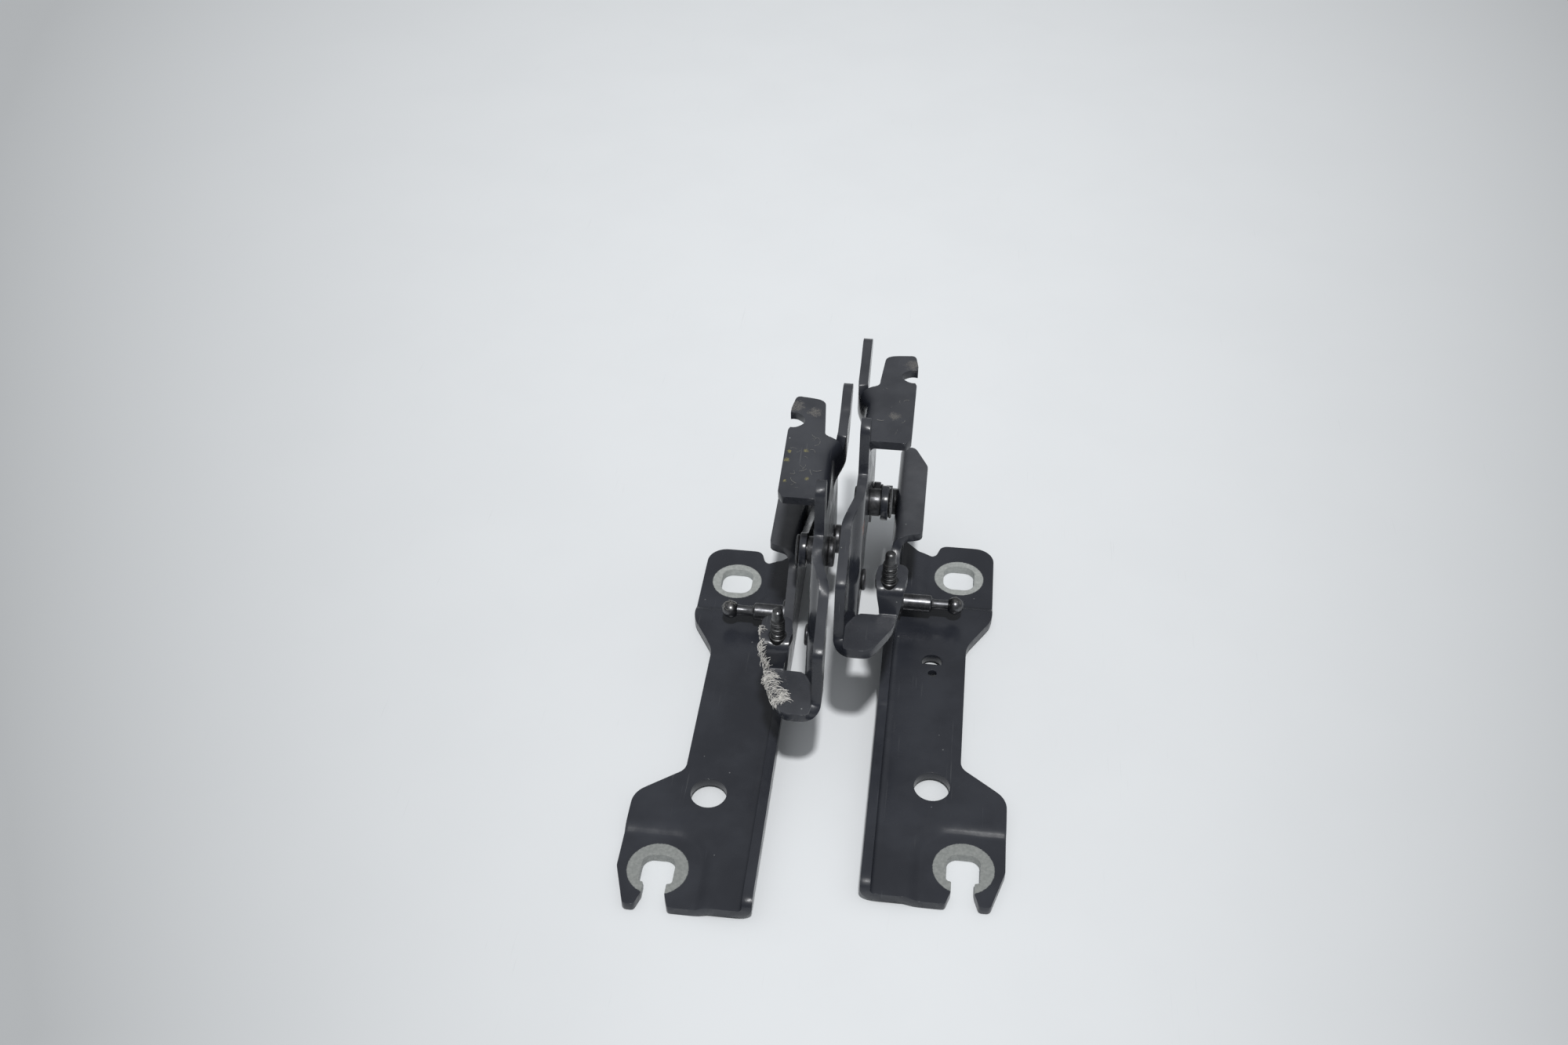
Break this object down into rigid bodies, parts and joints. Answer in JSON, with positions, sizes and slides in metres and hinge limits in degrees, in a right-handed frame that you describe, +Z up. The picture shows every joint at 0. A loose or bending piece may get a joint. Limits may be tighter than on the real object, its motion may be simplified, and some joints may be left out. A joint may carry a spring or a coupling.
{
  "type": "bonnet hinge pair",
  "caption": "Left and right bonnet hinges of black painted stamped steel, each a body bracket, a bonnet arm and two riveted links, lying side by side.",
  "frame": {"origin": "bottom centre of the box round the pair, on the table", "axes": "+X from the left hinge to the right one, +Y back along the hinges from the forks to the towers, +Z up from the table"},
  "size_m": [0.1534, 0.2438, 0.1327],
  "materials": {
    "black_paint": "satin charcoal dip paint, worn at the edges",
    "rivet_steel": "dark painted and rubbed steel",
    "dark_steel": "dark phosphated steel"
  },
  "bodies": {
    "brackets": {"left_body_bracket": "black_paint", "left_upper_tower_rivet": "rivet_steel", "left_lower_tower_rivet": "rivet_steel", "left_tower_washer": "rivet_steel", "left_tower_sleeve": "rivet_steel", "left_ball_stud": "dark_steel", "right_body_bracket": "black_paint", "right_upper_tower_rivet": "rivet_steel", "right_lower_tower_rivet": "rivet_steel", "right_tower_washer": "rivet_steel", "right_tower_sleeve": "rivet_steel", "right_ball_stud": "dark_steel"},
    "left_upper_link_body": {"left_upper_link": "black_paint"},
    "left_lower_link_body": {"left_lower_link": "black_paint", "left_lower_arm_rivet": "rivet_steel"},
    "left_arm_body": {"left_bonnet_arm": "black_paint", "left_upper_arm_rivet": "rivet_steel", "left_arm_sleeve": "rivet_steel", "left_stop_rivet": "rivet_steel", "left_bonnet_stud": "dark_steel"},
    "right_upper_link_body": {"right_upper_link": "black_paint"},
    "right_lower_link_body": {"right_lower_link": "black_paint", "right_lower_arm_rivet": "rivet_steel"},
    "right_arm_body": {"right_bonnet_arm": "black_paint", "right_upper_arm_rivet": "rivet_steel", "right_arm_sleeve": "rivet_steel", "right_stop_rivet": "rivet_steel", "right_bonnet_stud": "dark_steel"}
  },
  "joints": [
    {"name": "left_upper_swing", "type": "hinge", "parent": "brackets", "child": "left_upper_link_body", "pos_m": [-0.0164, 0.07555, 0.039], "axis": [-1, 0, 0], "range_deg": [-17, 80]},
    {"name": "left_lower_swing", "type": "hinge", "parent": "brackets", "child": "left_lower_link_body", "pos_m": [-0.0115, 0.08955, 0.0277], "axis": [-1, 0, 0], "range_deg": [-19.38, 91.2]},
    {"name": "left_arm_tilt", "type": "hinge", "parent": "left_upper_link_body", "child": "left_arm_body", "pos_m": [-0.0077, 0.02195, 0.0659], "axis": [1, 0, 0], "range_deg": [-10.54, 49.6]},
    {"name": "right_upper_swing", "type": "hinge", "parent": "brackets", "child": "right_upper_link_body", "pos_m": [0.0164, 0.08995, 0.039], "axis": [-1, 0, 0], "range_deg": [-29.8, 67.2]},
    {"name": "right_lower_swing", "type": "hinge", "parent": "brackets", "child": "right_lower_link_body", "pos_m": [0.0115, 0.10395, 0.0277], "axis": [-1, 0, 0], "range_deg": [-33.98, 76.61]},
    {"name": "right_arm_tilt", "type": "hinge", "parent": "right_upper_link_body", "child": "right_arm_body", "pos_m": [0.0077, 0.04364, 0.07711], "axis": [1, 0, 0], "range_deg": [-18.48, 41.67]}
  ],
  "couplings": [
    {"joint": "left_lower_swing", "follows": "left_upper_swing", "ratio": 1.14},
    {"joint": "left_arm_tilt", "follows": "left_upper_swing", "ratio": 0.62},
    {"joint": "right_lower_swing", "follows": "right_upper_swing", "ratio": 1.14},
    {"joint": "right_arm_tilt", "follows": "right_upper_swing", "ratio": 0.62}
  ]
}
